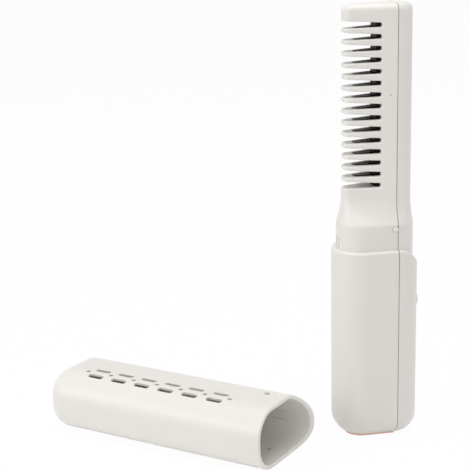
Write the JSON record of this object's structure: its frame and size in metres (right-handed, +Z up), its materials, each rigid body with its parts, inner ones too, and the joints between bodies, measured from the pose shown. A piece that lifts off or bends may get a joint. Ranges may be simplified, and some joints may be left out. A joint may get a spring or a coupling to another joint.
{
  "type": "cordless hair straightening comb",
  "caption": "Upright cordless hair straightening comb with guard teeth around a heated metal comb, and its vented travel cap lying beside it.",
  "frame": {"origin": "middle of the flat foot that the comb stands on", "axes": "+Z up along the comb from foot to tip, -X towards the teeth, +X towards the spine with the power button, Y through the thickness"},
  "size_m": [0.1726, 0.1054, 0.2042],
  "materials": {
    "shell_white": "satin white",
    "cap_white": "satin white",
    "plate_rose": "brushed rose gold",
    "comb_black": "black heat-proof coating",
    "ceramic_white": "fired ceramic",
    "mica": "pressed mica",
    "spring_steel": "spring steel",
    "frame_black": "heat-proof moulding",
    "glass_bead": "sealed bead",
    "fuse_metal": "drawn can",
    "lead_white": "silicone sleeve",
    "lead_yellow": "silicone sleeve",
    "lead_red": "silicone sleeve",
    "pin_white": "satin white",
    "cell_wrap": "shrink wrap",
    "nickel": "nickel strip",
    "holder_grey": "moulded",
    "board_green": "solder mask",
    "screw_steel": "zinc plated",
    "chip_black": "moulded",
    "coil_grey": "pressed powder",
    "capacitor_metal": "drawn can",
    "switch_metal": "stamped",
    "plunger_black": "moulded",
    "button_white": "satin white",
    "lamp": "lens",
    "pipe_clear": "clear moulding",
    "port_metal": "folded sheet"
  },
  "bodies": {
    "comb_body": {"battery_cell": "cell_wrap", "battery_holder": "holder_grey", "battery_tabs": "nickel", "board_chips": "chip_black", "board_screws": "screw_steel", "boost_coil": "coil_grey", "bottom_plate": "plate_rose", "capacitors": "capacitor_metal", "ceramic_heater": "ceramic_white", "charging_port": "port_metal", "clamp_springs": "spring_steel", "detent_guide": "frame_black", "front_shell": "shell_white", "heat_barrier": "frame_black", "heater_frame": "frame_black", "heater_leads": "lead_white", "heating_comb": "comb_black", "left_detent_spring": "spring_steel", "light_pipe": "pipe_clear", "main_board": "board_green", "mica_sheet": "mica", "port_board": "board_green", "port_leads": "lead_red", "port_screws": "screw_steel", "port_tongue": "chip_black", "rear_cover": "shell_white", "right_detent_spring": "spring_steel", "sensor_leads": "lead_yellow", "status_lamp": "lamp", "tact_switch": "switch_metal", "thermal_fuse": "fuse_metal", "thermistor": "glass_bead"},
    "loose_cap": {"cap": "cap_white"},
    "button": {"power_button": "button_white"},
    "plunger": {"switch_plunger": "plunger_black"},
    "left_detent": {"left_detent_pin": "pin_white"},
    "right_detent": {"right_detent_pin": "pin_white"}
  },
  "joints": [
    {"name": "cap_lift", "type": "slide", "parent": "comb_body", "child": "loose_cap", "axis": [0, 0, 1], "range_m": [0, 0.22]},
    {"name": "button_press", "type": "slide", "parent": "comb_body", "child": "button", "axis": [-1, 0, 0], "range_m": [0, 0.0004], "stiffness_N_per_m": 1000, "springref_m": -0.001},
    {"name": "plunger_press", "type": "slide", "parent": "comb_body", "child": "plunger", "axis": [-1, 0, 0], "range_m": [0, 0.0005]},
    {"name": "left_detent_in", "type": "slide", "parent": "comb_body", "child": "left_detent", "axis": [0, 1, 0], "range_m": [0, 0.0009], "stiffness_N_per_m": 1500, "springref_m": -0.001, "deforming": ["left_detent_spring"]},
    {"name": "right_detent_in", "type": "slide", "parent": "comb_body", "child": "right_detent", "axis": [0, -1, 0], "range_m": [0, 0.0009], "stiffness_N_per_m": 1500, "springref_m": -0.001, "deforming": ["right_detent_spring"]}
  ],
  "couplings": [
    {"joint": "plunger_press", "follows": "button_press", "ratio": 1}
  ]
}
